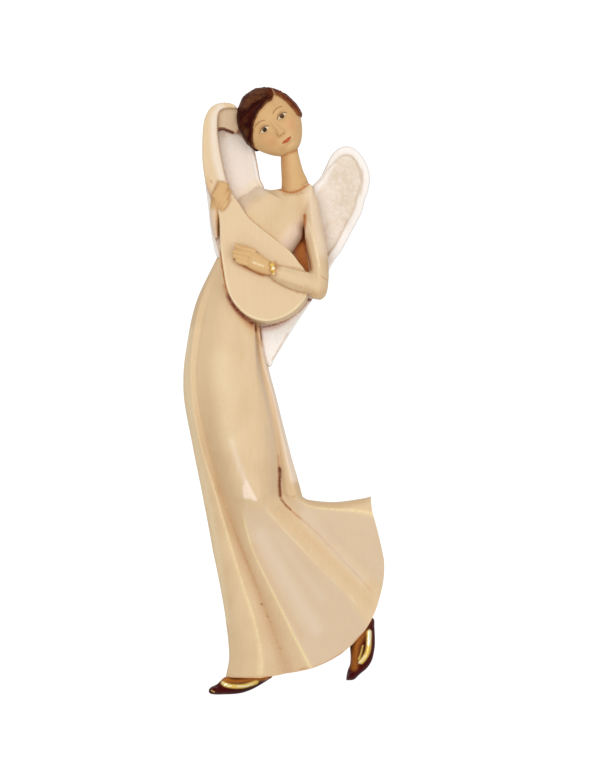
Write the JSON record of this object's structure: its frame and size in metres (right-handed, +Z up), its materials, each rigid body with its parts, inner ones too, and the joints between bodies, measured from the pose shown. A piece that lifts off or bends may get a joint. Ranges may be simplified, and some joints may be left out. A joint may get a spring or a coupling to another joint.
{
  "type": "carved wooden angel wall plaque",
  "caption": "Leaning carved and painted wooden angel in a long gown, playing a pear-shaped lute, in high relief with a flat back for hanging on a wall.",
  "frame": {"origin": "the hanging point on the flat back, straight above the balance point, at the height of the chest", "axes": "X to the viewer's right, Y away from the viewer into the wall, Z up; the carved front faces -Y"},
  "size_m": [0.1651, 0.0442, 0.4995],
  "materials": {
    "gown_paint": "beige paint over carved wood, satin, brown in the hollows",
    "lute_paint": "plain beige paint over carved wood, satin",
    "wing_paint": "off-white paint over carved wood, matt, tan at the edges",
    "skin_paint": "warm skin-toned paint over carved wood, satin",
    "hair_paint": "dark brown paint over carved wood, satin",
    "shoe_paint": "dark red-brown paint over carved wood, satin",
    "gilding": "gold paint, soft gloss",
    "bare_wood": "plain sawn wood of the flat back"
  },
  "bodies": {
    "root": {"angel": "gown_paint"}
  },
  "joints": []
}
